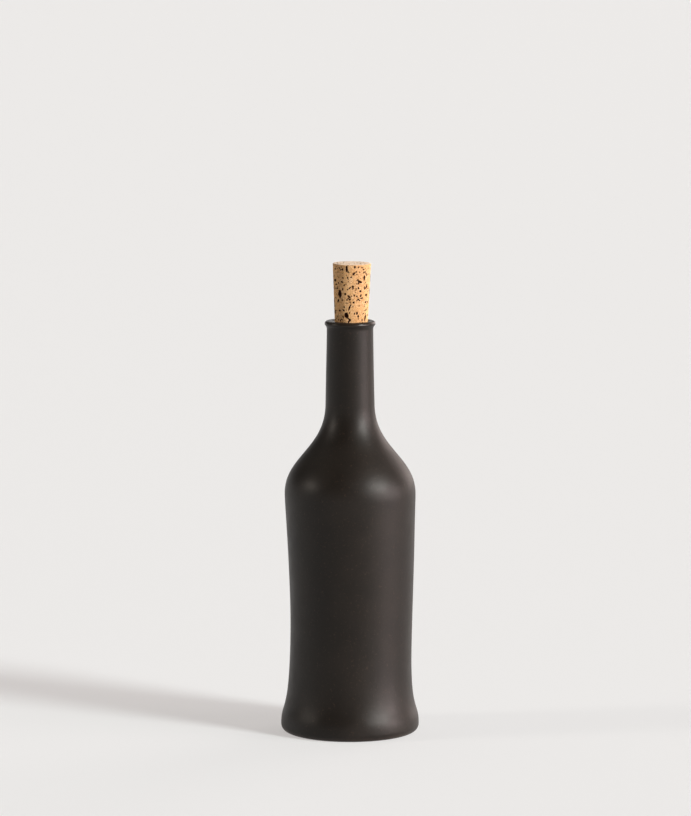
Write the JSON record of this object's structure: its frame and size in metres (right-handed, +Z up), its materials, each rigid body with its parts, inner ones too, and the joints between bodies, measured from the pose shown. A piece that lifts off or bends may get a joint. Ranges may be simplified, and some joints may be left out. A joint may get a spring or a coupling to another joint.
{
  "type": "oil carafe",
  "caption": "Slender dark glazed stoneware oil carafe with a flared foot, rounded shoulder, long neck and rolled lip, closed with a tapered natural cork.",
  "frame": {"origin": "centre of the foot's flat underside, on the bottle's axis", "axes": "+Z up the bottle's axis, towards the cork; +X the way the cork leans, to the right as seen from the front; -Y the front"},
  "size_m": [0.0768, 0.0768, 0.2616],
  "materials": {
    "glaze": "dark brown-black satin glaze on stoneware",
    "cork": "natural cork with dark pores"
  },
  "bodies": {
    "root": {"bottle": "glaze", "cork": "cork"}
  },
  "joints": []
}
